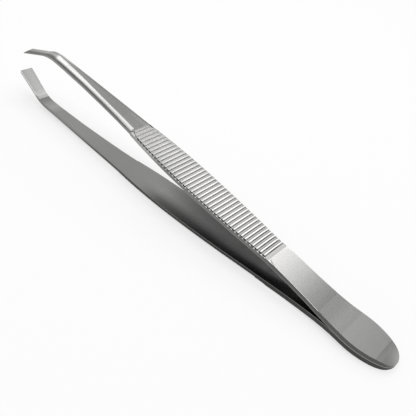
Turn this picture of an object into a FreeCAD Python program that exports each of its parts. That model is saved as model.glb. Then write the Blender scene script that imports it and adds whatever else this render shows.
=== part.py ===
import FreeCAD, Part
import os
from math import acos, asin, atan2, cos, degrees, hypot, pi, radians, sin
import Sketcher
from FreeCAD import Placement, Rotation, Vector

# Angled tweezers: two equal stamped steel arms, welded together at the heel.
#
# Each arm is modelled in its own frame. The straight grip lies along +X with its inner face
# on the XY plane and its ribs towards +Z. The origin is where the straight inner face of the
# grip begins, behind the ribs: the heel runs to -X and the bent tip to +X.
# The lower arm is the same arm, turned over about the long axis of the weld plane.

# Sizes in millimetres and degrees. A station is a distance from the tail end, in plan, and a
# half width is measured from the arm's middle line.
SIZES = [
    ("weld_length", 9.5, "flat of the heel, from the tail end to where the arms part"),
    ("heel_radius", 45.0, "inner radius where an arm lifts off the weld plane"),
    ("panel_angle", 6.9, "slope of the smooth panel to the weld plane"),
    ("grip_angle", 4.18, "slope of the ribbed grip to the weld plane"),
    ("panel_length", 11.9, "straight slope of the panel, up to its front edge"),
    ("strip_radius", 11.3, "inner radius of the bend under the plain strip"),
    ("strip_length", 0.3, "straight part of the strip, up to the first groove"),
    ("panel_thickness", 0.9, "sheet at the heel and the panel"),
    ("floor_thickness", 0.74, "sheet at the strip and under the grooves"),
    ("crest_thickness", 1.02, "sheet and rib together"),
    ("ledge_thickness", 0.64, "sheet at the narrow ledge beside the ribs"),
    ("ledge_width", 0.2, "width of that ledge"),
    ("crown_half_width", 2.0, "half width of the nearly flat middle of the crests"),
    ("crown_fall", 0.08, "fall of the crests from the middle line to there"),
    ("side_fall", 0.2, "fall of the crests from the middle line to the sides of the grip"),
    ("crest_hollow", 0.14, "hollow of the line of crests along the grip"),
    ("tail_edge", 0.35, "sheet at the rounded tail end"),
    ("tail_roll", 3.0, "length over which the tail thins to that edge"),
    ("rib_count", 40, "ribs on each grip"),
    ("rib_pitch", 0.876, "distance from rib to rib"),
    ("front_crest", 0.37, "front rib's crest, behind the front edge of the grip"),
    ("groove_floor", 0.27, "width of a groove at its floor"),
    ("groove_mouth", 0.6, "width of a groove at the crests"),
    ("bulge_station", 7.6, "widest place of the tail"),
    ("bulge_half_width", 4.05, "half width of the tail there"),
    ("bulge_radius", 13.0, "plan radius of the sides of the tail"),
    ("waist_station", 24.0, "narrowest place of the panel"),
    ("waist_half_width", 3.1, "half width of the panel there"),
    ("grip_station", 46.9, "widest place of the grip"),
    ("grip_half_width", 3.8, "half width of the grip there"),
    ("corner_radius", 0.8, "plan radius of the two front corners of the panel"),
    ("corner_inset", 0.3, "panel's edge inside the narrowest half width at those corners"),
    ("corner_length", 2.6, "length over which that edge runs back out to the side"),
    ("pad_taper", 1.5, "length of the cut front corners of the ribbed pad"),
    ("pad_nose_half_width", 1.9, "half width of the pad at its front edge"),
    ("shank_lift", -0.3, "slope of the shank to the grip where it leaves it, outwards"),
    ("shank_radius", 450.0, "long bow of the shank, from the grip to the bend"),
    ("shank_length", 24.1, "length of the shank on its inner face"),
    ("bend_radius", 8.6, "inner radius of the bend that angles the tip"),
    ("bend_angle", 26.6, "angle of the tip to the shank"),
    ("tip_length", 5.4, "straight tip beyond the bend, on its inner face"),
    ("edge_break", 0.12, "small bevel along the inner edges of shank and tip"),
]

# Cross-sections of shank and tip: name, distance as a share of the shank, the bend or the
# straight tip, then the half width, the half width of the flat land on the outer face, the
# thickness, the height of the side wall and the radius of the shoulder above it.
SECTION_COLUMNS = ["at", "half_width", "land", "thickness", "wall", "shoulder"]
SHANK_SECTIONS = [
    ("neck", 0.0, 2.75, 1.74, 1.0, 0.5, 0.32),
    ("rear", 0.17, 2.38, 1.45, 1.03, 0.5, 0.36),
    ("middle", 0.38, 2.05, 1.08, 1.03, 0.48, 0.4),
    ("front", 0.63, 1.68, 0.55, 1.12, 0.5, 0.42),
    ("throat", 0.88, 1.44, 0.16, 1.3, 0.5, 0.42),
    ("elbow", 1.0, 1.38, 0.14, 1.45, 0.5, 0.42),
]
KNUCKLE_SECTION = ("knuckle", 1.38, 0.14, 1.6, 0.48, 0.42)
TIP_SECTION = ("tip", 1.56, 0.14, 1.6, 0.42, 0.42)
BEND_STEPS = 6


def make_sheet(doc):
    """Writes every driving size into the sheet and returns them by name."""
    sheet = doc.addObject("Spreadsheet::Sheet", "Sizes")
    rows = list(SIZES)
    for name, *values in SHANK_SECTIONS + [KNUCKLE_SECTION, TIP_SECTION]:
        rows += [(name + "_" + column, value, "section of shank or tip")
                 for column, value in zip(SECTION_COLUMNS[-len(values):], values)]
    for row, (alias, value, meaning) in enumerate(rows, start=1):
        sheet.set("A%d" % row, meaning)
        sheet.set("B%d" % row, str(value))
        sheet.setAlias("B%d" % row, alias)
    doc.recompute()
    return {alias: value for alias, value, meaning in rows}


def origin_plane(body, role):
    return next(plane for plane in body.Origin.OriginFeatures if plane.Role == role)


def new_sketch(body, name, role):
    sketch = body.newObject("Sketcher::SketchObject", name)
    sketch.AttachmentSupport = (origin_plane(body, role), [""])
    sketch.MapMode = "FlatFace"
    return sketch


def line(sketch, start, end):
    return sketch.addGeometry(Part.LineSegment(Vector(*start, 0), Vector(*end, 0)))


def arc(sketch, centre, radius, low, high):
    """Adds an arc that runs anticlockwise from the angle low to the angle high, in radians."""
    circle = Part.Circle(Vector(*centre, 0), Vector(0, 0, 1), radius)
    return sketch.addGeometry(Part.ArcOfCircle(circle, low, high))


def relate(sketch, kind, *places):
    return sketch.addConstraint(Sketcher.Constraint(kind, *places))


def dimension(sketch, name, kind, places, value, formula):
    """Adds a named dimension and ties it to the sheet."""
    index = sketch.addConstraint(Sketcher.Constraint(kind, *places, value))
    sketch.renameConstraint(index, name)
    sketch.setExpression("Constraints." + name, formula)


def sheet_dimension(sketch, size, alias, kind, *places):
    """Adds a dimension that is one cell of the sheet."""
    dimension(sketch, alias, kind, places, size[alias], "Sizes." + alias)


def measure(sketch, name, kind, *places):
    """Adds a measured dimension that other sketches can read."""
    index = sketch.addConstraint(Sketcher.Constraint(kind, *places, 0.0))
    sketch.setDriving(index, False)
    sketch.renameConstraint(index, name)


def grip_length(size):
    return size["strip_length"] + size["front_crest"] + (size["rib_count"] - 0.5) * size["rib_pitch"]


def stock_width(size):
    return (size["bulge_half_width"] + size["grip_half_width"]) * 2


STOCK_WIDTH = "(Sizes.bulge_half_width + Sizes.grip_half_width) * 2"
GRIP_LENGTH = "(Sizes.strip_length + Sizes.front_crest + (Sizes.rib_count - 0.5) * Sizes.rib_pitch)"


def heel_points(size):
    """Points of the inner face behind the grip, from the strip's bend back to the tail end."""
    rise = radians(size["panel_angle"] - size["grip_angle"])
    grip = radians(size["grip_angle"])
    strip = Vector(-size["strip_radius"] * sin(rise), -size["strip_radius"] * (1 - cos(rise)), 0)
    lift = strip - Vector(cos(rise), sin(rise), 0) * size["panel_length"]
    centre = lift + Vector(-sin(rise), cos(rise), 0) * size["heel_radius"]
    weld = centre - Vector(sin(grip), cos(grip), 0) * size["heel_radius"]
    tail = weld - Vector(cos(grip), -sin(grip), 0) * size["weld_length"]
    return strip, lift, centre, weld, tail


def sheet_profile(body, size):
    """Side view of the arm from the tail to the front edge of the grip."""
    sketch = new_sketch(body, "SheetProfile", "XZ_Plane")
    rise = radians(size["panel_angle"] - size["grip_angle"])
    grip = radians(size["grip_angle"])
    strip, lift, centre, weld, tail = heel_points(size)
    panel, floor, crest = (size[name + "_thickness"] for name in ("panel", "floor", "crest"))
    along_panel, over_panel = Vector(cos(rise), sin(rise), 0), Vector(-sin(rise), cos(rise), 0)
    along_weld, over_weld = Vector(cos(grip), -sin(grip), 0), Vector(sin(grip), cos(grip), 0)
    length = grip_length(size)
    step = size["strip_length"]
    drop = panel - size["tail_edge"]
    roll_radius = (size["tail_roll"] ** 2 + drop ** 2) / (2 * drop)
    roll_angle = atan2(size["tail_roll"], roll_radius - drop)
    roll_top = tail + over_weld * panel + along_weld * size["tail_roll"]
    roll_centre = roll_top - over_weld * roll_radius
    quarter = pi / 2

    inner = line(sketch, (0, 0), (length, 0))
    front = line(sketch, (length, 0), (length, crest))
    top = line(sketch, (length, crest), (step, crest))
    back = line(sketch, (step, crest), (step, floor))
    strip_top = line(sketch, (step, floor), (0, floor))
    strip_outer = arc(sketch, (0, -size["strip_radius"]), size["strip_radius"] + floor,
                      quarter, quarter + rise)
    low = strip + over_panel * floor
    high = strip + over_panel * panel
    panel_front = line(sketch, low[:2], high[:2])
    panel_end = lift + over_panel * panel
    panel_top = line(sketch, high[:2], panel_end[:2])
    heel_outer = arc(sketch, centre[:2], size["heel_radius"] - panel, -quarter - grip, -quarter + rise)
    weld_end = weld + over_weld * panel
    weld_top = line(sketch, weld_end[:2], roll_top[:2])
    roll = arc(sketch, roll_centre[:2], roll_radius, quarter - grip, quarter - grip + roll_angle)
    edge_end = tail + over_weld * size["tail_edge"]
    tail_end = line(sketch, edge_end[:2], tail[:2])
    weld_inner = line(sketch, tail[:2], weld[:2])
    heel_inner = arc(sketch, centre[:2], size["heel_radius"], -quarter - grip, -quarter + rise)
    panel_inner = line(sketch, lift[:2], strip[:2])
    strip_inner = arc(sketch, (0, -size["strip_radius"]), size["strip_radius"], quarter, quarter + rise)

    for one, end, other, start in [
            (inner, 2, front, 1), (front, 2, top, 1), (top, 2, back, 1), (back, 2, strip_top, 1),
            (strip_outer, 2, panel_front, 1), (panel_front, 2, panel_top, 1),
            (roll, 2, tail_end, 1), (tail_end, 2, weld_inner, 1)]:
        relate(sketch, "Coincident", one, end, other, start)
    for one, end, other, start in [
            (strip_top, 2, strip_outer, 1), (panel_top, 2, heel_outer, 2), (heel_outer, 1, weld_top, 1),
            (weld_top, 2, roll, 1), (weld_inner, 2, heel_inner, 1), (heel_inner, 2, panel_inner, 1),
            (panel_inner, 2, strip_inner, 2), (strip_inner, 1, inner, 1)]:
        relate(sketch, "Tangent", one, end, other, start)
    relate(sketch, "Coincident", inner, 1, -1, 1)
    relate(sketch, "Horizontal", inner)
    relate(sketch, "Vertical", front)
    relate(sketch, "Horizontal", top)
    relate(sketch, "Vertical", back)
    relate(sketch, "Coincident", strip_inner, 3, strip_outer, 3)
    relate(sketch, "Coincident", heel_inner, 3, heel_outer, 3)
    relate(sketch, "Perpendicular", panel_front, panel_top)
    relate(sketch, "PointOnObject", panel_inner, 2, panel_front)
    relate(sketch, "Perpendicular", tail_end, weld_inner)
    relate(sketch, "Parallel", panel_top, panel_inner)
    relate(sketch, "Parallel", weld_top, weld_inner)

    dimension(sketch, "grip_length", "DistanceX", (inner, 1, inner, 2), length, GRIP_LENGTH)
    sheet_dimension(sketch, size, "crest_thickness", "DistanceY", front, 1, front, 2)
    sheet_dimension(sketch, size, "strip_length", "DistanceX", -1, 1, back, 1)
    sheet_dimension(sketch, size, "floor_thickness", "DistanceY", -1, 1, back, 2)
    sheet_dimension(sketch, size, "strip_radius", "Radius", strip_inner)
    sheet_dimension(sketch, size, "heel_radius", "Radius", heel_inner)
    sheet_dimension(sketch, size, "panel_length", "Distance", panel_inner, 1, panel_inner, 2)
    sheet_dimension(sketch, size, "weld_length", "Distance", weld_inner, 1, weld_inner, 2)
    sheet_dimension(sketch, size, "tail_edge", "Distance", tail_end, 1, tail_end, 2)
    dimension(sketch, "heel_outer_radius", "Radius", (heel_outer,), size["heel_radius"] - panel,
              "Sizes.heel_radius - Sizes.panel_thickness")
    sheet_dimension(sketch, size, "tail_roll", "Distance", weld_top, 2, tail_end)
    dimension(sketch, "panel_slope", "Angle", (-1, panel_inner), rise,
              "(Sizes.panel_angle - Sizes.grip_angle) * 1 deg")
    dimension(sketch, "weld_slope", "Angle", (weld_inner, -1), grip, "Sizes.grip_angle * 1 deg")
    measure(sketch, "tail_reach", "DistanceX", weld_inner, 1, -1, 1)
    measure(sketch, "panel_front", "DistanceX", panel_front, 1, -1, 1)
    return sketch


def plan_outline(body, size, profile):
    """Half outline of the sheet, seen from above, round the tail and along one side."""
    sketch = new_sketch(body, "PlanOutline", "XY_Plane")
    reach = -heel_points(size)[-1].x
    length = grip_length(size)
    bulge, waist, grip = (Vector(size[name + "_station"] - reach, size[name + "_half_width"], 0)
                          for name in ("bulge", "waist", "grip"))
    tail_radius = size["bulge_radius"]
    tail_centre = bulge - Vector(0, tail_radius, 0)
    station = size["bulge_station"]
    nose_radius = (tail_radius ** 2 - station ** 2 - tail_centre.y ** 2) / (2 * (tail_radius - station))
    nose_centre = Vector(nose_radius - reach, 0, 0)
    lift = waist.y - tail_centre.y
    waist_radius = ((waist.x - tail_centre.x) ** 2 + lift ** 2 - tail_radius ** 2) / (2 * (tail_radius - lift))
    waist_centre = waist + Vector(0, waist_radius, 0)
    lift = waist_centre.y - grip.y
    rear_radius = ((grip.x - waist.x) ** 2 + lift ** 2 - waist_radius ** 2) / (2 * (waist_radius - lift))
    rear_centre = grip - Vector(0, rear_radius, 0)
    narrowing = grip.y - size["neck_half_width"]
    front_radius = ((length - grip.x) ** 2 + narrowing ** 2) / (2 * narrowing)
    front_centre = grip - Vector(0, front_radius, 0)

    def bearing(start, end):
        return atan2(end.y - start.y, end.x - start.x)

    nose_end = bearing(tail_centre, nose_centre)
    tail_start = bearing(tail_centre, waist_centre)
    rear_end = bearing(rear_centre, waist_centre)
    front_end = Vector(length, size["neck_half_width"], 0)
    far = stock_width(size)
    behind = -reach - far

    nose = arc(sketch, nose_centre[:2], nose_radius, nose_end, pi)
    tail = arc(sketch, tail_centre[:2], tail_radius, tail_start, nose_end)
    hollow = arc(sketch, waist_centre[:2], waist_radius, tail_start + pi, rear_end + pi)
    rear = arc(sketch, rear_centre[:2], rear_radius, pi / 2, rear_end)
    front = arc(sketch, front_centre[:2], front_radius, bearing(front_centre, front_end), pi / 2)
    edges = [line(sketch, (length, front_end.y), (length, far)),
             line(sketch, (length, far), (behind, far)),
             line(sketch, (behind, far), (behind, 0)),
             line(sketch, (behind, 0), (-reach, 0))]
    middle = line(sketch, waist_centre[:2], waist[:2])
    sketch.toggleConstruction(middle)

    for one, end, other, start in [(nose, 1, tail, 2), (tail, 1, hollow, 1), (hollow, 2, rear, 2),
                                   (rear, 1, front, 2)]:
        relate(sketch, "Tangent", one, end, other, start)
    relate(sketch, "Coincident", front, 1, edges[0], 1)
    for one, other in zip(edges, edges[1:]):
        relate(sketch, "Coincident", one, 2, other, 1)
    relate(sketch, "Coincident", edges[3], 2, nose, 2)
    relate(sketch, "Vertical", edges[0])
    relate(sketch, "Horizontal", edges[1])
    relate(sketch, "Vertical", edges[2])
    relate(sketch, "Horizontal", edges[3])
    relate(sketch, "PointOnObject", nose, 2, -1)
    relate(sketch, "PointOnObject", nose, 3, -1)
    relate(sketch, "Vertical", rear, 1, rear, 3)
    relate(sketch, "Coincident", middle, 1, hollow, 3)
    relate(sketch, "PointOnObject", middle, 2, hollow)
    relate(sketch, "Vertical", middle)

    reach_cell = profile.Name + ".Constraints.tail_reach"
    dimension(sketch, "tail_reach", "DistanceX", (nose, 2, -1, 1), reach, reach_cell)
    dimension(sketch, "grip_length", "DistanceX", (-1, 1, front, 1), length, GRIP_LENGTH)
    sheet_dimension(sketch, size, "neck_half_width", "DistanceY", -1, 1, front, 1)
    sheet_dimension(sketch, size, "bulge_radius", "Radius", tail)
    sheet_dimension(sketch, size, "bulge_station", "DistanceX", nose, 2, tail, 3)
    dimension(sketch, "bulge_half_width", "DistanceY", (tail, 3, -1, 1), -tail_centre.y,
              "Sizes.bulge_radius - Sizes.bulge_half_width")
    sheet_dimension(sketch, size, "waist_station", "DistanceX", nose, 2, hollow, 3)
    sheet_dimension(sketch, size, "waist_half_width", "DistanceY", -1, 1, middle, 2)
    sheet_dimension(sketch, size, "grip_station", "DistanceX", nose, 2, rear, 1)
    sheet_dimension(sketch, size, "grip_half_width", "DistanceY", -1, 1, rear, 1)
    dimension(sketch, "room_beside", "DistanceY", (-1, 1, edges[0], 2), far, STOCK_WIDTH)
    dimension(sketch, "room_behind", "DistanceX", (edges[3], 1, edges[3], 2), far, STOCK_WIDTH)
    measure(sketch, "rear_radius", "Radius", rear)
    measure(sketch, "front_radius", "Radius", front)
    return sketch, rear_radius, front_radius


def pocket(body, sketch, name, upwards=False):
    """Cuts a sketch right through: both ways, or only upwards from the sketch."""
    cut = body.newObject("PartDesign::Pocket", name)
    cut.Profile = sketch
    cut.Type = "ThroughAll"
    if upwards:
        cut.Reversed = True
    else:
        cut.SideType = "Symmetric"
    return cut


def mirrored(body, feature, name):
    """Repeats a cut on the other side of the arm's middle plane."""
    mirror = body.newObject("PartDesign::Mirrored", name)
    mirror.Originals = [feature]
    mirror.MirrorPlane = (origin_plane(body, "XZ_Plane"), [""])
    body.Tip = mirror
    return mirror


def raise_sketch(sketch, size, alias):
    """Lifts a plan sketch to the height of one cell of the sheet."""
    sketch.AttachmentOffset = Placement(Vector(0, 0, size[alias]), Rotation())
    sketch.setExpression("AttachmentOffset.Base.z", "Sizes." + alias)


def panel_corner(body, size, profile):
    """One rounded front corner of the panel, which falls to the height of the strip."""
    sketch = new_sketch(body, "PanelCorner", "XY_Plane")
    raise_sketch(sketch, size, "floor_thickness")
    rise = radians(size["panel_angle"] - size["grip_angle"])
    gap = size["strip_length"] / 4
    front = -(size["strip_radius"] + size["floor_thickness"]) * sin(rise) + gap
    radius = size["corner_radius"]
    waist, inset = size["waist_half_width"], size["corner_inset"]
    far = stock_width(size)
    start = front - size["corner_length"]
    turn = radians(73)
    centre = (front - radius, waist - inset - radius * sin(turn))

    corner = arc(sketch, centre, radius, 0, turn)
    edges = [line(sketch, (centre[0] + radius * cos(turn), waist - inset), (start, waist + inset)),
             line(sketch, (start, waist + inset), (start, far)),
             line(sketch, (start, far), (front, far)),
             line(sketch, (front, far), (front, centre[1]))]
    relate(sketch, "Tangent", corner, 2, edges[0], 1)
    for one, other in zip(edges, edges[1:]):
        relate(sketch, "Coincident", one, 2, other, 1)
    relate(sketch, "Tangent", edges[3], 2, corner, 1)
    relate(sketch, "Vertical", edges[1])
    relate(sketch, "Horizontal", edges[2])
    relate(sketch, "Vertical", edges[3])
    sheet_dimension(sketch, size, "corner_radius", "Radius", corner)
    dimension(sketch, "panel_front", "DistanceX", (corner, 1, -1, 1), -front,
              profile.Name + ".Constraints.panel_front - Sizes.strip_length / 4 * 1 mm")
    dimension(sketch, "corner_side", "DistanceY", (-1, 1, corner, 2), waist - inset,
              "Sizes.waist_half_width - Sizes.corner_inset")
    dimension(sketch, "corner_runout", "DistanceY", (-1, 1, edges[0], 2), waist + inset,
              "Sizes.waist_half_width + Sizes.corner_inset")
    sheet_dimension(sketch, size, "corner_length", "DistanceX", edges[0], 2, edges[3], 2)
    dimension(sketch, "room_beside", "DistanceY", (-1, 1, edges[2], 1), far, STOCK_WIDTH)
    return sketch


def ledge(body, size, profile, outline, rear_radius, front_radius):
    """The ledge beside the ribs and the cut front corner of the ribbed pad, on one side."""
    sketch = new_sketch(body, "Ledge", "XY_Plane")
    raise_sketch(sketch, size, "ledge_thickness")
    reach = -heel_points(size)[-1].x
    length = grip_length(size)
    inset = size["ledge_width"]
    crown = Vector(size["grip_station"] - reach, size["grip_half_width"] - inset, 0)
    rear_radius, front_radius = rear_radius - inset, front_radius - inset
    start = size["strip_length"]
    end = length - size["pad_taper"]
    nose = size["pad_nose_half_width"]
    far = stock_width(size)
    rear_end = pi / 2 + asin((crown.x - start) / rear_radius)
    front_end = pi / 2 - asin((end - crown.x) / front_radius)
    side_start = crown.y - rear_radius * (1 - sin(rear_end))
    side_end = crown.y - front_radius * (1 - sin(front_end))

    rear = arc(sketch, (crown.x, crown.y - rear_radius), rear_radius, pi / 2, rear_end)
    front = arc(sketch, (crown.x, crown.y - front_radius), front_radius, front_end, pi / 2)
    edges = [line(sketch, (end, side_end), (length, nose)),
             line(sketch, (length, nose), (length, far)),
             line(sketch, (length, far), (start, far)),
             line(sketch, (start, far), (start, side_start))]
    relate(sketch, "Tangent", rear, 1, front, 2)
    relate(sketch, "Vertical", rear, 1, rear, 3)
    relate(sketch, "Coincident", front, 1, edges[0], 1)
    for one, other in zip(edges, edges[1:]):
        relate(sketch, "Coincident", one, 2, other, 1)
    relate(sketch, "Coincident", edges[3], 2, rear, 2)
    relate(sketch, "Vertical", edges[1])
    relate(sketch, "Horizontal", edges[2])
    relate(sketch, "Vertical", edges[3])
    dimension(sketch, "rear_radius", "Radius", (rear,), rear_radius,
              outline.Name + ".Constraints.rear_radius - Sizes.ledge_width * 1 mm")
    dimension(sketch, "front_radius", "Radius", (front,), front_radius,
              outline.Name + ".Constraints.front_radius - Sizes.ledge_width * 1 mm")
    dimension(sketch, "crown_place", "DistanceX", (-1, 1, rear, 1), crown.x,
              "Sizes.grip_station * 1 mm - " + profile.Name + ".Constraints.tail_reach")
    dimension(sketch, "crown_side", "DistanceY", (-1, 1, rear, 1), crown.y,
              "Sizes.grip_half_width - Sizes.ledge_width")
    sheet_dimension(sketch, size, "strip_length", "DistanceX", -1, 1, rear, 2)
    dimension(sketch, "grip_length", "DistanceX", (-1, 1, edges[0], 2), length, GRIP_LENGTH)
    sheet_dimension(sketch, size, "pad_taper", "DistanceX", front, 1, edges[0], 2)
    sheet_dimension(sketch, size, "pad_nose_half_width", "DistanceY", -1, 1, edges[0], 2)
    dimension(sketch, "room_beside", "DistanceY", (-1, 1, edges[2], 1), far, STOCK_WIDTH)
    return sketch


def crest_crown(body, size):
    """What is cut away above the crests, which fall off from the middle line to both sides."""
    sketch = new_sketch(body, "CrestCrown", "YZ_Plane")
    top, far = size["crest_thickness"], stock_width(size)
    corners = [(0, top), (size["crown_half_width"], top - size["crown_fall"]),
               (size["grip_half_width"], top - size["side_fall"])]
    points = [(-y, z) for y, z in corners[:0:-1]] + corners
    points += [(size["grip_half_width"], far), (-size["grip_half_width"], far)]
    edges = [line(sketch, one, other) for one, other in zip(points, points[1:] + points[:1])]
    for one, other in zip(edges, edges[1:] + edges[:1]):
        relate(sketch, "Coincident", one, 2, other, 1)
    side_a, crown_a, crown_b, side_b, wall_b, roof, wall_a = edges
    relate(sketch, "PointOnObject", crown_a, 2, -2)
    relate(sketch, "Symmetric", crown_a, 1, crown_b, 2, -2)
    relate(sketch, "Symmetric", side_a, 1, side_b, 2, -2)
    relate(sketch, "Vertical", wall_a)
    relate(sketch, "Vertical", wall_b)
    relate(sketch, "Horizontal", roof)
    sheet_dimension(sketch, size, "crest_thickness", "DistanceY", -1, 1, crown_a, 2)
    sheet_dimension(sketch, size, "crown_half_width", "DistanceX", -1, 1, crown_b, 2)
    sheet_dimension(sketch, size, "grip_half_width", "DistanceX", -1, 1, side_b, 2)
    sheet_dimension(sketch, size, "crown_fall", "DistanceY", crown_b, 2, crown_b, 1)
    sheet_dimension(sketch, size, "side_fall", "DistanceY", side_b, 2, crown_b, 1)
    dimension(sketch, "room_above", "DistanceY", (-1, 1, roof, 1), far, STOCK_WIDTH)
    return sketch


def crest_hollow(body, size):
    """What is cut away above the line of crests, which is slightly hollow along the grip."""
    sketch = new_sketch(body, "CrestHollow", "XZ_Plane")
    span, fall = grip_length(size) + size["strip_length"], size["crest_hollow"]
    top = size["crest_thickness"]
    radius = ((span / 2) ** 2 + fall ** 2) / (2 * fall)
    swing = asin(span / 2 / radius)
    far = stock_width(size)
    hollow = arc(sketch, (span / 2, top - fall + radius), radius, -pi / 2 - swing, -pi / 2 + swing)
    edges = [line(sketch, (span, top), (span, far)),
             line(sketch, (span, far), (0, far)),
             line(sketch, (0, far), (0, top))]
    relate(sketch, "Coincident", hollow, 2, edges[0], 1)
    for one, other in zip(edges, edges[1:]):
        relate(sketch, "Coincident", one, 2, other, 1)
    relate(sketch, "Coincident", edges[2], 2, hollow, 1)
    relate(sketch, "Vertical", edges[0])
    relate(sketch, "Horizontal", edges[1])
    relate(sketch, "Vertical", edges[2])
    relate(sketch, "PointOnObject", hollow, 1, -2)
    relate(sketch, "Horizontal", hollow, 1, hollow, 2)
    dimension(sketch, "span", "DistanceX", (-1, 1, hollow, 2), span,
              GRIP_LENGTH + " + Sizes.strip_length")
    sheet_dimension(sketch, size, "crest_thickness", "DistanceY", -1, 1, hollow, 1)
    dimension(sketch, "hollow_radius", "Radius", (hollow,), radius,
              "(((" + GRIP_LENGTH + " + Sizes.strip_length) / 2) ^ 2 + Sizes.crest_hollow ^ 2)"
              " / (2 * Sizes.crest_hollow)")
    dimension(sketch, "room_above", "DistanceY", (-1, 1, edges[0], 2), far, STOCK_WIDTH)
    return sketch


def groove(body, size):
    """Section of the front groove, which lies across the front edge of the grip."""
    sketch = new_sketch(body, "GrooveSection", "XZ_Plane")
    floor, crest = size["floor_thickness"], size["crest_thickness"]
    low, high = size["groove_floor"] / 2, size["groove_mouth"] / 2
    place = grip_length(size) - size["front_crest"] + size["rib_pitch"] / 2
    corners = [(place - low, floor), (place + low, floor), (place + high, crest), (place - high, crest)]
    bottom, front, mouth, rear = (line(sketch, one, other)
                                  for one, other in zip(corners, corners[1:] + corners[:1]))
    for one, other in [(bottom, front), (front, mouth), (mouth, rear), (rear, bottom)]:
        relate(sketch, "Coincident", one, 2, other, 1)
    relate(sketch, "Horizontal", bottom)
    relate(sketch, "Horizontal", mouth)
    relate(sketch, "Equal", front, rear)
    sheet_dimension(sketch, size, "groove_floor", "DistanceX", bottom, 1, bottom, 2)
    sheet_dimension(sketch, size, "groove_mouth", "DistanceX", mouth, 2, mouth, 1)
    sheet_dimension(sketch, size, "floor_thickness", "DistanceY", -1, 1, bottom, 1)
    sheet_dimension(sketch, size, "crest_thickness", "DistanceY", -1, 1, mouth, 1)
    dimension(sketch, "place", "DistanceX", (-1, 1, bottom, 1), place - low,
              GRIP_LENGTH + " - Sizes.front_crest + (Sizes.rib_pitch - Sizes.groove_floor) / 2")
    return sketch


def section_shape(size, name, other=None, share=0.0):
    """Values and formulas of one cross-section, or of one that lies between two others."""
    shape = {}
    for column in SECTION_COLUMNS[1:]:
        value, formula = size[name + "_" + column], "Sizes." + name + "_" + column
        if other:
            value += (size[other + "_" + column] - value) * share
            formula += " + (Sizes.%s_%s - Sizes.%s_%s) * %r" % (other, column, name, column, share)
        shape[column] = (value, formula)
    return shape


def cross_section(body, size, name, shape, place, formulas):
    """Cross-section of shank or tip: flat inside, with a land and two sloping facets outside."""
    sketch = new_sketch(body, "Section_" + name, "YZ_Plane")
    sketch.AttachmentOffset = place
    for target, formula in formulas.items():
        sketch.setExpression("AttachmentOffset." + target, formula)
    half, land, thick, wall, radius = (shape[column][0] for column in SECTION_COLUMNS[1:])
    small = size["edge_break"]
    centre = half - radius
    swing = atan2(thick - wall, land - centre) - acos(radius / hypot(thick - wall, land - centre))
    touch = (centre + radius * cos(swing), wall + radius * sin(swing))

    bottom = line(sketch, (small - half, 0), (half - small, 0))
    bevel_a = line(sketch, (half - small, 0), (half, small))
    side_a = line(sketch, (half, small), (half, wall))
    shoulder_a = arc(sketch, (centre, wall), radius, 0, swing)
    facet_a = line(sketch, touch, (land, thick))
    top = line(sketch, (land, thick), (-land, thick))
    facet_b = line(sketch, (-land, thick), (-touch[0], touch[1]))
    shoulder_b = arc(sketch, (-centre, wall), radius, pi - swing, pi)
    side_b = line(sketch, (-half, wall), (-half, small))
    bevel_b = line(sketch, (-half, small), (small - half, 0))
    for one, other in [(bottom, bevel_a), (bevel_a, side_a), (facet_a, top), (top, facet_b),
                       (side_b, bevel_b), (bevel_b, bottom)]:
        relate(sketch, "Coincident", one, 2, other, 1)
    relate(sketch, "Coincident", shoulder_b, 2, side_b, 1)
    relate(sketch, "Tangent", side_a, 2, shoulder_a, 1)
    relate(sketch, "Tangent", shoulder_a, 2, facet_a, 1)
    relate(sketch, "Tangent", facet_b, 2, shoulder_b, 1)
    relate(sketch, "Vertical", side_a)
    relate(sketch, "PointOnObject", bottom, 1, -1)
    for one, end, other, start in [(bottom, 1, bottom, 2), (side_a, 1, side_b, 2), (side_a, 2, side_b, 1),
                                   (shoulder_a, 3, shoulder_b, 3), (top, 1, top, 2)]:
        relate(sketch, "Symmetric", one, end, other, start, -2)
    dimension(sketch, "break_height", "DistanceY", (-1, 1, side_a, 1), small, "Sizes.edge_break")
    dimension(sketch, "break_width", "DistanceX", (bottom, 2, side_a, 1), small, "Sizes.edge_break")
    for column, kind, places in [("half_width", "DistanceX", (-1, 1, side_a, 1)),
                                 ("wall", "DistanceY", (-1, 1, side_a, 2)),
                                 ("shoulder", "Radius", (shoulder_a,)),
                                 ("land", "DistanceX", (-1, 1, top, 1)),
                                 ("thickness", "DistanceY", (-1, 1, top, 1))]:
        dimension(sketch, column, kind, places, *shape[column])
    return sketch


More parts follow.
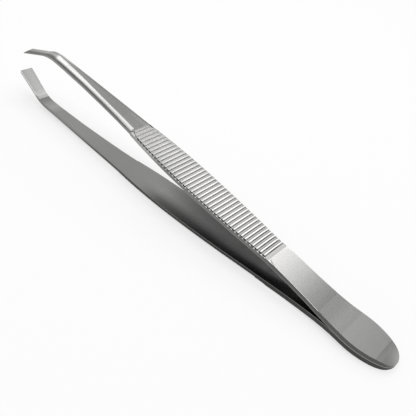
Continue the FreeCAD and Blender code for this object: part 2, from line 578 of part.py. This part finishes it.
def front_sections(body, size):
    """Sections of shank, bend and tip, each square to the inner face where it stands."""
    bow, bend = size["shank_radius"], size["bend_radius"]
    lift = radians(size["shank_lift"])
    bow_turn = size["shank_length"] / bow
    bend_turn = radians(size["bend_angle"])
    lift_formula = "Sizes.shank_lift * pi / 180"
    bow_formula = "Sizes.shank_length / Sizes.shank_radius"
    sections = []

    def add(name, shape, angle, place, angle_formula, x_formula, z_formula):
        offset = Placement(Vector(0, place[1], place[0]), Rotation(Vector(1, 0, 0), -degrees(angle)))
        formulas = {"Base.y": z_formula, "Base.z": x_formula,
                    "Rotation.Angle": "-(" + angle_formula + ") * 180 / pi"}
        sections.append(cross_section(body, size, name, shape, offset, formulas))

    # The shank leaves the grip with a slight outward slope and bows gently inwards.
    for name, at, *rest in SHANK_SECTIONS:
        angle = at * bow_turn - lift
        formula = "(Sizes." + name + "_at * " + bow_formula + " - " + lift_formula + ")"
        x = grip_length(size) + bow * (sin(angle) + sin(lift))
        z = bow * (cos(angle) - cos(lift))
        x_formula = (GRIP_LENGTH + " + Sizes.shank_radius * (sin(" + formula + " * 1 rad) + sin("
                     + lift_formula + " * 1 rad))")
        z_formula = ("Sizes.shank_radius * (cos(" + formula + " * 1 rad) - cos("
                     + lift_formula + " * 1 rad))")
        if at == 0:
            # The first section lies in the front face of the grip.
            add(name, section_shape(size, name), 0, (x, z), "0", x_formula, z_formula)
        else:
            add(name, section_shape(size, name), angle, (x, z), formula, x_formula, z_formula)

    # The bend turns inwards on a tighter arc, in even steps between elbow and knuckle.
    elbow, elbow_x, elbow_z = angle, x, z
    elbow_formula, elbow_x_formula, elbow_z_formula = formula, x_formula, z_formula
    for step in range(1, BEND_STEPS + 1):
        share = step / BEND_STEPS
        angle = elbow + share * bend_turn
        formula = "(%s + %r * Sizes.bend_angle * pi / 180)" % (elbow_formula, share)
        x = elbow_x + bend * (sin(angle) - sin(elbow))
        z = elbow_z + bend * (cos(angle) - cos(elbow))
        x_formula = (elbow_x_formula + " + Sizes.bend_radius * (sin(" + formula + " * 1 rad) - sin("
                     + elbow_formula + " * 1 rad))")
        z_formula = (elbow_z_formula + " + Sizes.bend_radius * (cos(" + formula + " * 1 rad) - cos("
                     + elbow_formula + " * 1 rad))")
        name = "knuckle" if step == BEND_STEPS else "bend%d" % step
        add(name, section_shape(size, "elbow", "knuckle", share), angle, (x, z),
            formula, x_formula, z_formula)

    # The tip runs on straight from the bend.
    run = size["tip_length"]
    add("tip", section_shape(size, "tip"), angle, (x + run * cos(angle), z - run * sin(angle)), formula,
        x_formula + " + Sizes.tip_length * cos(" + formula + " * 1 rad)",
        z_formula + " - Sizes.tip_length * sin(" + formula + " * 1 rad)")
    return sections


def make_arm(doc, label, size):
    """One arm: the sheet, its outline, ledges and corners, then shank and tip, then the grooves."""
    body = doc.addObject("PartDesign::Body", label)
    body.Label = label
    profile = sheet_profile(body, size)
    sheet = body.newObject("PartDesign::Pad", "Sheet")
    sheet.Profile = profile
    sheet.SideType = "Symmetric"
    sheet.setExpression("Length", STOCK_WIDTH)
    doc.recompute()
    outline, rear_radius, front_radius = plan_outline(body, size, profile)
    mirrored(body, pocket(body, outline, "SideCut"), "SideCuts")
    corner = panel_corner(body, size, profile)
    mirrored(body, pocket(body, corner, "CornerCut", upwards=True), "CornerCuts")
    step = ledge(body, size, profile, outline, rear_radius, front_radius)
    mirrored(body, pocket(body, step, "LedgeCut", upwards=True), "LedgeCuts")
    pocket(body, crest_crown(body, size), "CrownCut", upwards=True)
    pocket(body, crest_hollow(body, size), "HollowCut")
    doc.recompute()
    sections = front_sections(body, size)
    front = body.newObject("PartDesign::AdditiveLoft", "ShankAndTip")
    front.Profile = sections[0]
    front.Sections = sections[1:]
    front.Ruled = True
    doc.recompute()
    cut = pocket(body, groove(body, size), "FrontGroove")
    grooves = body.newObject("PartDesign::LinearPattern", "Grooves")
    grooves.Originals = [cut]
    grooves.Direction = (origin_plane(body, "X_Axis"), [""])
    grooves.Reversed = True
    grooves.setExpression("Length", "Sizes.rib_count * Sizes.rib_pitch")
    grooves.setExpression("Occurrences", "Sizes.rib_count + 1")
    body.Tip = grooves
    doc.recompute()
    return body


def resting_pitch(points, middle):
    """Slope of the line on which the outer side of an arm rests, under its centre of mass."""
    hull = []
    for x, z in sorted(points):
        while len(hull) > 1 and ((hull[-1][0] - hull[-2][0]) * (z - hull[-2][1])
                                 >= (hull[-1][1] - hull[-2][1]) * (x - hull[-2][0])):
            hull.pop()
        hull.append((x, z))
    return next(atan2(end[1] - start[1], end[0] - start[0])
                for start, end in zip(hull, hull[1:]) if end[0] > middle)


def check(doc, bodies):
    for item in doc.Objects:
        if "Invalid" in item.State or "Error" in item.State:
            raise RuntimeError(item.Name + " is not valid")
    for body in bodies:
        if body.Shape.isNull() or not body.Shape.isValid() or len(body.Shape.Solids) != 1:
            raise RuntimeError(body.Label + " is not one valid solid")


doc = FreeCAD.newDocument("AngledTweezers")
size = make_sheet(doc)
upper_arm = make_arm(doc, "upper_arm", size)
lower_arm = make_arm(doc, "lower_arm", size)
check(doc, [upper_arm, lower_arm])

# The weld plane is laid level, with the tail towards +X, and the lower arm is turned over.
level = Placement(Vector(), Rotation(Vector(0, 1, 0), -size["grip_angle"]))
level = Placement(-level.multVec(Vector(heel_points(size)[-1].x, 0, heel_points(size)[-1].y)),
                  level.Rotation)
points = [level.multVec(point) for point in upper_arm.Shape.tessellate(0.02)[0]]
centre = level.multVec(upper_arm.Shape.Solids[0].CenterOfMass)
pitch = resting_pitch([(point.x, point.z) for point in points], centre.x)
turned = Placement(Vector(), Rotation(Vector(0, 0, 1), 180))
tilted = Placement(Vector(), Rotation(Vector(0, 1, 0), degrees(pitch)))
over = Placement(Vector(), Rotation(Vector(1, 0, 0), 180))
placements = [tilted * turned * level, tilted * turned * over * level]
low = min((tilted * turned * over).multVec(point).z for point in points)
ends = [(tilted * turned * flip).multVec(point).x for point in points
        for flip in (Placement(), over)]
ground = Placement(Vector(-(min(ends) + max(ends)) / 2, 0, -low), Rotation())
upper_arm.Placement = ground * placements[0]
lower_arm.Placement = ground * placements[1]
doc.recompute()
check(doc, [upper_arm, lower_arm])

os.makedirs("parts", exist_ok=True)
for body in (upper_arm, lower_arm):
    body.Shape.exportStep("parts/" + body.Label + ".step")
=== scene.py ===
from math import radians
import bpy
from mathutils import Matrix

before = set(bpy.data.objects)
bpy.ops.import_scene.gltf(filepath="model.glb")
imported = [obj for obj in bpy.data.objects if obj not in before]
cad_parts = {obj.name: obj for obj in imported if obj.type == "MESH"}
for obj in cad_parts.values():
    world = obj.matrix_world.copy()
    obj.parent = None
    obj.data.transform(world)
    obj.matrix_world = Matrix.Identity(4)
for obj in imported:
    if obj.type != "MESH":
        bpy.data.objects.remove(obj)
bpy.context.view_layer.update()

from types import SimpleNamespace

import bpy
from mathutils import Matrix, Vector

bpy.context.scene.view_settings.view_transform = "Standard"


# ---------------------------------------------------------------------------
# Camera: stands on the near side, behind the middle, and looks down on the
# tweezers from the tail end towards the tips, close enough for perspective.

camera_data = bpy.data.cameras.new("camera")
camera_data.lens = 57.89
camera_data.sensor_width = 36.0
camera_data.shift_x = 0.0171
camera_data.shift_y = -0.0226
camera_data.clip_start = 0.005
camera_data.clip_end = 20.0
camera = bpy.data.objects.new("camera", camera_data)
bpy.context.scene.collection.objects.link(camera)
bpy.context.scene.camera = camera
camera_place = (0.05082, -0.08820, 0.07970)
sight = Vector((-0.38253, 0.70500, -0.59669)).normalized()
rightwards = sight.cross(Vector((-0.54383, 0.35100, 0.76269))).normalized()
upwards = rightwards.cross(sight)
turn = Matrix((rightwards, upwards, -sight)).transposed()
camera.matrix_world = Matrix.Translation(camera_place) @ turn.to_4x4()


# ---------------------------------------------------------------------------
# Steel of both arms: stamped stainless sheet. The outer face is satin, the
# inner face is brushed along the arm and the cut walls are ground across. The
# tones hold painted light: painted reflections and highlights by place, painted
# shade on the walls, and a painted highlight along the middle of the rib crests.

# Places along the arm and the pitch of its ribs, in millimetres from the start of the grip.
panel_start, panel_end = -12.4, -0.45
pad_start, pad_end = 0.3, 35.3
rib_pitch, front_crest = 0.876, 34.9
# Added to depths, because a level of a course can't fall below 0.
grip_depth = 0.65


def add_socket(group, name, way, kind, value=None):
    socket = group.interface.new_socket(name=name, in_out=way, socket_type=kind)
    if value is not None:
        socket.default_value = value
    return socket


def node(tree, kind, label="", **settings):
    made = tree.nodes.new(kind)
    made.label = label
    for name, value in settings.items():
        setattr(made, name, value)
    return made


def feed(tree, source, target):
    """Joins an output to an input, or writes a plain value into the input."""
    if isinstance(source, bpy.types.NodeSocket):
        tree.links.new(source, target)
    else:
        target.default_value = source


def maths(tree, operation, *values):
    made = node(tree, "ShaderNodeMath", operation=operation)
    for value, target in zip(values, made.inputs):
        feed(tree, value, target)
    return made.outputs[0]


def ramp(tree, value, start, end, low=0.0, high=1.0, smooth=True):
    """Runs from low to high as the value goes from start to end."""
    made = node(tree, "ShaderNodeMapRange")
    made.interpolation_type = "SMOOTHSTEP" if smooth else "LINEAR"
    for given, target in zip((value, start, end, low, high), made.inputs):
        feed(tree, given, target)
    return made.outputs[0]


def band(tree, value, start, end, soft):
    """1 between start and end, falling off over a soft width on both sides."""
    rise = ramp(tree, value, start - soft, start + soft)
    fall = ramp(tree, value, end - soft, end + soft, 1.0, 0.0)
    return maths(tree, "MULTIPLY", rise, fall)


def course(tree, value, *points):
    """Runs straight from point to point, each a place and a level between 0 and 1."""
    first, last = points[0][0], points[-1][0]
    steps = node(tree, "ShaderNodeValToRGB")
    feed(tree, ramp(tree, value, first, last, smooth=False), steps.inputs[0])
    stops = steps.color_ramp.elements
    while len(stops) < len(points):
        stops.new(1.0)
    for stop, (where, level) in zip(stops, points):
        stop.position = (where - first) / (last - first)
        stop.color = (level, level, level, 1.0)
    return steps.outputs[0]


def blend(tree, share, one, other):
    """Mixes two numbers."""
    made = node(tree, "ShaderNodeMix", data_type="FLOAT")
    feed(tree, share, made.inputs[0])
    feed(tree, one, made.inputs[2])
    feed(tree, other, made.inputs[3])
    return made.outputs[0]


def make_brush_grain():
    """Fine parallel scratches, from noise that is drawn out along the brushing."""
    group = bpy.data.node_groups.new("brush grain", "ShaderNodeTree")
    add_socket(group, "Place", "INPUT", "NodeSocketVector")
    add_socket(group, "Lines per mm", "INPUT", "NodeSocketVector", (1.0, 1.0, 1.0))
    add_socket(group, "Shade", "OUTPUT", "NodeSocketFloat")
    given, result = node(group, "NodeGroupInput"), node(group, "NodeGroupOutput")
    drawn = node(group, "ShaderNodeVectorMath", operation="MULTIPLY")
    group.links.new(given.outputs["Place"], drawn.inputs[0])
    group.links.new(given.outputs["Lines per mm"], drawn.inputs[1])
    noise = node(group, "ShaderNodeTexNoise")
    noise.inputs["Scale"].default_value = 1.0
    noise.inputs["Detail"].default_value = 3.0
    noise.inputs["Roughness"].default_value = 0.6
    group.links.new(drawn.outputs[0], noise.inputs["Vector"])
    group.links.new(noise.outputs[0], result.inputs["Shade"])
    return group


def read_arm(group, given, brush_grain):
    """Where a point of the arm is, which way it looks there, and the grains of its steel."""
    arm = SimpleNamespace()
    place = node(group, "ShaderNodeSeparateXYZ")
    facing = node(group, "ShaderNodeSeparateXYZ")
    group.links.new(given.outputs["Place"], place.inputs[0])
    group.links.new(given.outputs["Facing"], facing.inputs[0])
    arm.along, arm.across, arm.height = place.outputs
    arm.looks_along, arm.looks_across, arm.looks_out = facing.outputs
    arm.ribbed = band(group, arm.along, pad_start, pad_end, 0.02)

    # Depth outwards from the inner face, which is straight at the grip and kinked behind it.
    sheet = course(group, arm.along, (-27.31, 0.834), (-17.84, 0.142), (-14.56, 0.022),
                   (-12.42, 0.073), (-0.54, 0.637), (0.0, grip_depth), (35.0, grip_depth))
    arm.depth = maths(group, "SUBTRACT", maths(group, "ADD", arm.height, grip_depth), sheet)

    for name, lines in (("lengthwise", (0.6, 22.0, 6.0)), ("crosswise", (22.0, 0.8, 3.0)),
                        ("satin", (3.0, 20.0, 12.0))):
        made = node(group, "ShaderNodeGroup", name)
        made.node_tree = brush_grain
        group.links.new(given.outputs["Place"], made.inputs["Place"])
        made.inputs["Lines per mm"].default_value = lines
        setattr(arm, name, made.outputs[0])
    return arm


def shade_panel(group, arm):
    """Heel, panel and strip in painted reflections: brighter towards the grip and at the tail's
    end, with painted shade on the roll at the tail's near side.
    """
    # Painted reflection, brighter towards the grip and at the tail's end.
    tone = course(group, arm.along, (-27.2, 1.0), (-26.2, 0.75), (-24.8, 0.45), (-24.2, 0.36),
                  (-22.0, 0.33), (-18.0, 0.29), (-14.0, 0.38), (-10.0, 0.46), (-6.0, 0.58),
                  (-2.0, 0.65), (0.0, 0.66))
    # Painted shade on the roll at the tail's near side.
    roll_shade = maths(group, "MULTIPLY", ramp(group, arm.along, -24.2, -25.5),
                   ramp(group, arm.across, -2.0, 3.0))
    tone = blend(group, roll_shade, tone, 0.48)
    return blend(group, ramp(group, arm.along, -0.45, -0.35), tone, 0.42)


def shade_ribs(group, arm):
    """Ribs: floors and crests are satin, in painted tones that brighten towards the front, with
    painted shade on the slopes between them and towards the sides, and a painted highlight along
    the crests' middle.
    """
    # Painted reflections, brighter towards the front of the rib field.
    floors = course(group, arm.along, (0.0, 0.36), (16.0, 0.35), (24.0, 0.44), (30.0, 0.66),
                    (35.0, 0.78))
    crests = course(group, arm.along, (0.0, 0.42), (16.0, 0.4), (24.0, 0.48), (30.0, 0.76),
                    (35.0, 0.84))
    slopes = course(group, arm.along, (0.0, 0.27), (16.0, 0.26), (24.0, 0.34), (30.0, 0.5),
                    (35.0, 0.6))
    turns = maths(group, "MULTIPLY", maths(group, "SUBTRACT", arm.along, front_crest),
                  radians(360.0) / rib_pitch)
    # Painted highlight along the middle of each crest.
    crest_highlight = ramp(group, maths(group, "COSINE", turns), 0.6, 0.95)
    crests = blend(group, crest_highlight, crests, 0.8)
    ribs = blend(group, ramp(group, arm.height, 0.76, 0.8), floors, crests)
    # Painted shade on the slopes, which face along the arm.
    slope = ramp(group, maths(group, "ABSOLUTE", arm.looks_along), 0.3, 0.6)
    ribs = blend(group, slope, ribs, slopes)
    # Painted shade towards both sides of the rib field.
    side_shade = course(group, arm.across, (-4.0, 0.78), (-2.9, 0.92), (-1.5, 1.0), (2.5, 1.0),
                   (4.0, 0.85))
    return maths(group, "MULTIPLY", ribs, side_shade)


def shade_front(group, arm):
    """Shank and tip in painted tones: a land with a bright painted patch at the bend, a painted
    highlight streak down the one facet, and painted shade on the shoulder beside it.
    """
    quarter_width = course(group, arm.along, (35.3, 0.688), (39.4, 0.595), (44.4, 0.513),
                           (50.5, 0.42), (56.5, 0.36), (61.0, 0.345), (68.5, 0.39))
    sideways = maths(group, "DIVIDE", arm.across, maths(group, "MULTIPLY", quarter_width, 4.0))
    # Painted reflections on the land, with a bright painted patch at the bend.
    land = course(group, arm.along, (36.0, 0.46), (46.0, 0.57), (52.0, 0.62), (58.0, 0.56),
                  (60.5, 0.7), (62.0, 0.95), (65.0, 0.85), (68.0, 0.75))
    lit = course(group, arm.along, (36.0, 0.5), (45.0, 0.57), (52.0, 0.74), (58.0, 0.8),
                 (61.0, 1.0), (64.0, 0.93), (68.0, 0.72))
    streak = course(group, arm.along, (36.0, 0.6), (46.0, 0.57), (53.0, 0.52), (58.5, 0.44),
                    (68.0, 0.32))
    off_streak = maths(group, "ABSOLUTE", maths(group, "SUBTRACT", sideways, streak))
    near = maths(group, "SUBTRACT", 1.0, off_streak)
    # Painted highlight streak down the facet.
    front = blend(group, ramp(group, near, 0.68, 0.95), land, lit)
    front = blend(group, ramp(group, sideways, -0.2, -0.5), front, 0.52)
    brink = course(group, arm.along, (36.0, 0.88), (44.0, 0.8), (50.0, 0.77), (56.0, 0.72),
                   (61.0, 0.68), (68.0, 0.52))
    # Painted shade on the shoulder past the brink.
    shoulder_shade = course(group, arm.along, (36.0, 0.3), (44.0, 0.21), (58.0, 0.23), (61.0, 0.42),
                  (68.0, 0.38))
    past_brink = maths(group, "SUBTRACT", sideways, brink)
    return blend(group, ramp(group, past_brink, -0.12, 0.1), front, shoulder_shade)


def shade_inner_face(group, arm):
    """Inner face, brushed along the arm, with painted shade behind the middle and along one edge,
    and a painted reflection at the bend.
    """
    # Painted shade, darkest behind the middle, and a painted reflection at the bend.
    tone = course(group, arm.along, (-14.0, 0.3), (-10.0, 0.17), (-6.0, 0.1), (-2.0, 0.055),
                  (2.0, 0.045), (6.0, 0.06), (10.0, 0.12), (14.0, 0.2), (18.0, 0.28),
                  (22.0, 0.43), (26.0, 0.62), (30.0, 0.6), (40.0, 0.58), (50.0, 0.66),
                  (56.0, 0.64), (58.0, 0.85), (59.5, 0.72), (61.0, 0.42), (68.0, 0.36))
    # Painted shade along one edge, left out in the middle of the grip.
    edge_shade = course(group, arm.across, (-4.0, 0.35), (-2.4, 0.45), (-1.2, 0.8), (0.0, 1.0),
                  (2.4, 0.78))
    edge_shade = blend(group, band(group, arm.along, 9.0, 27.0, 4.0), 1.0, edge_shade)
    tone = maths(group, "MULTIPLY", tone, edge_shade)
    return maths(group, "MULTIPLY", tone, ramp(group, arm.lengthwise, 0.2, 0.8, 0.92, 1.08))


def shade_walls(group, arm, wall_shade):
    """Walls, ground across, in painted tones: painted reflections on the upper arm's walls and
    painted shade on the lower arm's, a painted highlight at the inner face, painted shade at the
    rib ends, and a painted shadow line and painted highlight round the panel's rim.
    """
    # Painted reflections on the upper arm's walls, painted shade on the lower arm's.
    bright = course(group, arm.along, (-26.0, 0.1), (-20.0, 0.11), (-2.0, 0.13), (4.0, 0.18),
                    (26.0, 0.23), (30.0, 0.43), (34.0, 0.38), (38.0, 0.24), (48.0, 0.26),
                    (62.0, 0.32), (68.0, 0.38))
    dark = course(group, arm.along, (-26.0, 0.07), (-2.0, 0.06), (10.0, 0.06), (34.0, 0.09),
                  (46.0, 0.12), (60.0, 0.17), (66.0, 0.23))
    tone = blend(group, wall_shade, bright, dark)
    tone = maths(group, "MULTIPLY", tone, ramp(group, arm.crosswise, 0.2, 0.8, 0.75, 1.25))
    # Painted highlight along the edge at the inner face.
    edge_highlight = blend(group, wall_shade, 0.3, 0.25)
    tone = blend(group, ramp(group, arm.depth, 0.1, 0.07), tone, edge_highlight)
    # Painted shade where the ribs end.
    rib_end_shade = maths(group, "MULTIPLY", arm.ribbed, ramp(group, arm.depth, 0.64, 0.67))
    tone = blend(group, rib_end_shade, tone, 0.05)
    panel = maths(group, "MULTIPLY", band(group, arm.along, panel_start, panel_end, 0.05),
                  maths(group, "SUBTRACT", 1.0, wall_shade))
    # Painted shadow line round the panel's edge.
    panel_shadow_line = maths(group, "MULTIPLY", panel, ramp(group, arm.depth, 0.7, 0.74))
    tone = blend(group, panel_shadow_line, tone, 0.03)
    # Painted highlight on the panel's rim.
    rim_highlight = maths(group, "MULTIPLY", panel, ramp(group, arm.depth, 0.8, 0.82))
    return blend(group, rim_highlight, tone, 0.95)


def make_steel_finish():
    """Tone, roughness and relief of the steel, by place on the arm and by the way it faces. The
    tone holds painted highlights, reflections and shade.

    Place is in millimetres in the arm's own frame: x towards the tip from the start of the
    grip, y across, z outwards from the inner face. Facing is the normal in that frame.
    """
    group = bpy.data.node_groups.new("arm finish", "ShaderNodeTree")
    add_socket(group, "Place", "INPUT", "NodeSocketVector")
    add_socket(group, "Facing", "INPUT", "NodeSocketVector")
    # Painted shade on the walls: 0 gives the lit copy, 1 the shaded copy.
    add_socket(group, "Painted wall shade", "INPUT", "NodeSocketFloat", 0.0)
    add_socket(group, "Colour", "OUTPUT", "NodeSocketColor")
    add_socket(group, "Roughness", "OUTPUT", "NodeSocketFloat")
    add_socket(group, "Relief", "OUTPUT", "NodeSocketFloat")
    given, result = node(group, "NodeGroupInput"), node(group, "NodeGroupOutput")
    arm = read_arm(group, given, make_brush_grain())

    # Outer face, from the tail to the tip.
    tone = blend(group, arm.ribbed, shade_panel(group, arm), shade_ribs(group, arm))
    tone = blend(group, ramp(group, arm.along, 35.2, 35.3), tone, shade_front(group, arm))
    tone = maths(group, "MULTIPLY", tone, ramp(group, arm.satin, 0.25, 0.75, 0.98, 1.02))

    # The ledges beside the ribs: a painted highlight on one edge, painted shade on the other.
    ledge = maths(group, "MULTIPLY", arm.ribbed, ramp(group, arm.depth, 0.7, 0.68))
    ledge = maths(group, "MULTIPLY", ledge, ramp(group, arm.looks_out, 0.8, 0.9))
    tone = blend(group, ledge, tone, ramp(group, arm.across, -0.5, 0.5, 0.12, 1.0))

    inner = ramp(group, arm.looks_out, -0.6, -0.9)
    tone = blend(group, inner, tone, shade_inner_face(group, arm))

    # The walls are the two long sides and the blunt ends of the tail and the tip.
    wall = ramp(group, maths(group, "ABSOLUTE", arm.looks_across), 0.8, 0.95)
    butt = ramp(group, maths(group, "ABSOLUTE", arm.looks_out), 0.62, 0.5)
    at_ends = maths(group, "ADD", ramp(group, arm.along, -20.0, -21.0),
                    ramp(group, arm.along, 65.0, 65.5))
    wall = maths(group, "MAXIMUM", wall, maths(group, "MULTIPLY", butt, at_ends))
    tone = blend(group, wall, tone, shade_walls(group, arm, given.outputs["Painted wall shade"]))

    # A trace warmer than grey.
    colour = node(group, "ShaderNodeCombineColor")
    for target, warmth in zip(colour.inputs, (1.0, 0.995, 0.985)):
        feed(group, maths(group, "MULTIPLY", tone, warmth), target)
    group.links.new(colour.outputs[0], result.inputs["Colour"])

    rough = blend(group, inner, 0.27, 0.2)
    rough = blend(group, wall, rough, 0.4)
    group.links.new(rough, result.inputs["Roughness"])

    relief = blend(group, inner, arm.satin, arm.lengthwise)
    relief = blend(group, wall, relief, arm.crosswise)
    group.links.new(relief, result.inputs["Relief"])
    return group


arm_finish = make_steel_finish()


def make_arm_steel(name, seat, tilt, turned, wall_shade):
    """Steel for one arm. Seat, tilt and turn give the arm's own frame in the object's frame."""
    material = bpy.data.materials.new(name)
    material.use_nodes = True
    tree = material.node_tree
    principled = next(n for n in tree.nodes if n.type == "BSDF_PRINCIPLED")
    coordinates = node(tree, "ShaderNodeTexCoord")
    place = node(tree, "ShaderNodeMapping", "place on the arm, mm", vector_type="TEXTURE")
    place.inputs["Location"].default_value = seat
    place.inputs["Rotation"].default_value = tilt
    place.inputs["Scale"].default_value = (0.001, 0.001, 0.001)
    facing = node(tree, "ShaderNodeMapping", "facing on the arm", vector_type="VECTOR")
    facing.inputs["Rotation"].default_value = turned
    finish = node(tree, "ShaderNodeGroup", "finish")
    finish.node_tree = arm_finish
    finish.inputs["Painted wall shade"].default_value = wall_shade
    bump = node(tree, "ShaderNodeBump")
    bump.inputs["Strength"].default_value = 0.07
    bump.inputs["Distance"].default_value = 0.00002
    tree.links.new(coordinates.outputs["Object"], place.inputs["Vector"])
    tree.links.new(coordinates.outputs["Normal"], facing.inputs["Vector"])
    tree.links.new(place.outputs[0], finish.inputs["Place"])
    tree.links.new(facing.outputs[0], finish.inputs["Facing"])
    tree.links.new(finish.outputs["Colour"], principled.inputs["Base Color"])
    tree.links.new(finish.outputs["Roughness"], principled.inputs["Roughness"])
    tree.links.new(finish.outputs["Relief"], bump.inputs["Height"])
    tree.links.new(bump.outputs[0], principled.inputs["Normal"])
    principled.inputs["Metallic"].default_value = 1.0
    return material


# ---------------------------------------------------------------------------
# Upper arm: the arm that shows its ribbed outer face. It slopes up from the
# weld at the heel to its tip, which bends down.

upper_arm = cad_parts["upper_arm"]
upper_seat = (0.0205069, 0.0, 0.0046158)
upper_turn = (0.0, radians(-8.36171), radians(180.0))
upper_steel = make_arm_steel("upper_arm_steel", upper_seat, upper_turn, upper_turn,
                             wall_shade=0.0)
for slot in upper_arm.material_slots:
    slot.material = upper_steel


# ---------------------------------------------------------------------------
# Lower arm: the same stamping turned over, lying on its ribs, with its brushed
# inner face upwards and its tip bent up towards the other.

lower_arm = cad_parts["lower_arm"]
lower_seat = (0.0202433, 0.0, 0.0010108)
turned_over = radians(180.00171)
# The lower arm is the shaded copy, with painted shade on its walls.
lower_steel = make_arm_steel("lower_arm_steel", lower_seat, (0.0, turned_over, 0.0),
                             (0.0, -turned_over, 0.0), wall_shade=1.0)
for slot in lower_arm.material_slots:
    slot.material = lower_steel


# ---------------------------------------------------------------------------
# Studio: a plain white floor that keeps the soft shadow, an overhead soft box
# and one behind.

bpy.ops.object.select_all(action="DESELECT")
bpy.ops.mesh.primitive_plane_add(size=6.0, location=(0.0, 0.0, 0.0))
floor = bpy.context.object
floor.name = "floor"
floor_paint = bpy.data.materials.new("floor_white")
floor_paint.use_nodes = True
tree = floor_paint.node_tree
principled = next(n for n in tree.nodes if n.type == "BSDF_PRINCIPLED")
principled.inputs["Base Color"].default_value = (0.45, 0.45, 0.45, 1.0)
principled.inputs["Roughness"].default_value = 0.9
principled.inputs["Specular IOR Level"].default_value = 0.0
path = node(tree, "ShaderNodeLightPath")
seen = maths(tree, "MAXIMUM", path.outputs["Is Camera Ray"], path.outputs["Is Glossy Ray"])
seen = maths(tree, "MAXIMUM", seen, path.outputs["Is Transmission Ray"])
glow = node(tree, "ShaderNodeCombineColor")
for target in glow.inputs:
    tree.links.new(seen, target)
tree.links.new(glow.outputs[0], principled.inputs["Emission Color"])
principled.inputs["Emission Strength"].default_value = 0.62
floor.data.materials.append(floor_paint)

world = bpy.data.worlds.new("studio")
world.use_nodes = True
backdrop = next(n for n in world.node_tree.nodes if n.type == "BACKGROUND")
backdrop.inputs["Color"].default_value = (1.0, 1.0, 1.0, 1.0)
backdrop.inputs["Strength"].default_value = 0.4
bpy.context.scene.world = world


def soft_box(name, place, size, power):
    """Rectangular area lamp that looks at the middle of the floor."""
    light = bpy.data.lights.new(name, "AREA")
    light.shape = "RECTANGLE"
    light.size, light.size_y = size
    light.energy = power
    lamp = bpy.data.objects.new(name, light)
    bpy.context.scene.collection.objects.link(lamp)
    lamp.location = place
    lamp.rotation_mode = "QUATERNION"
    lamp.rotation_quaternion = (-Vector(place)).to_track_quat("-Z", "Y")


soft_box("overhead_box", (-0.05, 0.0, 0.5), (0.5, 0.5), 1.2)
soft_box("rear_box", (-0.058, 0.441, 0.401), (0.22, 0.3), 0.275)
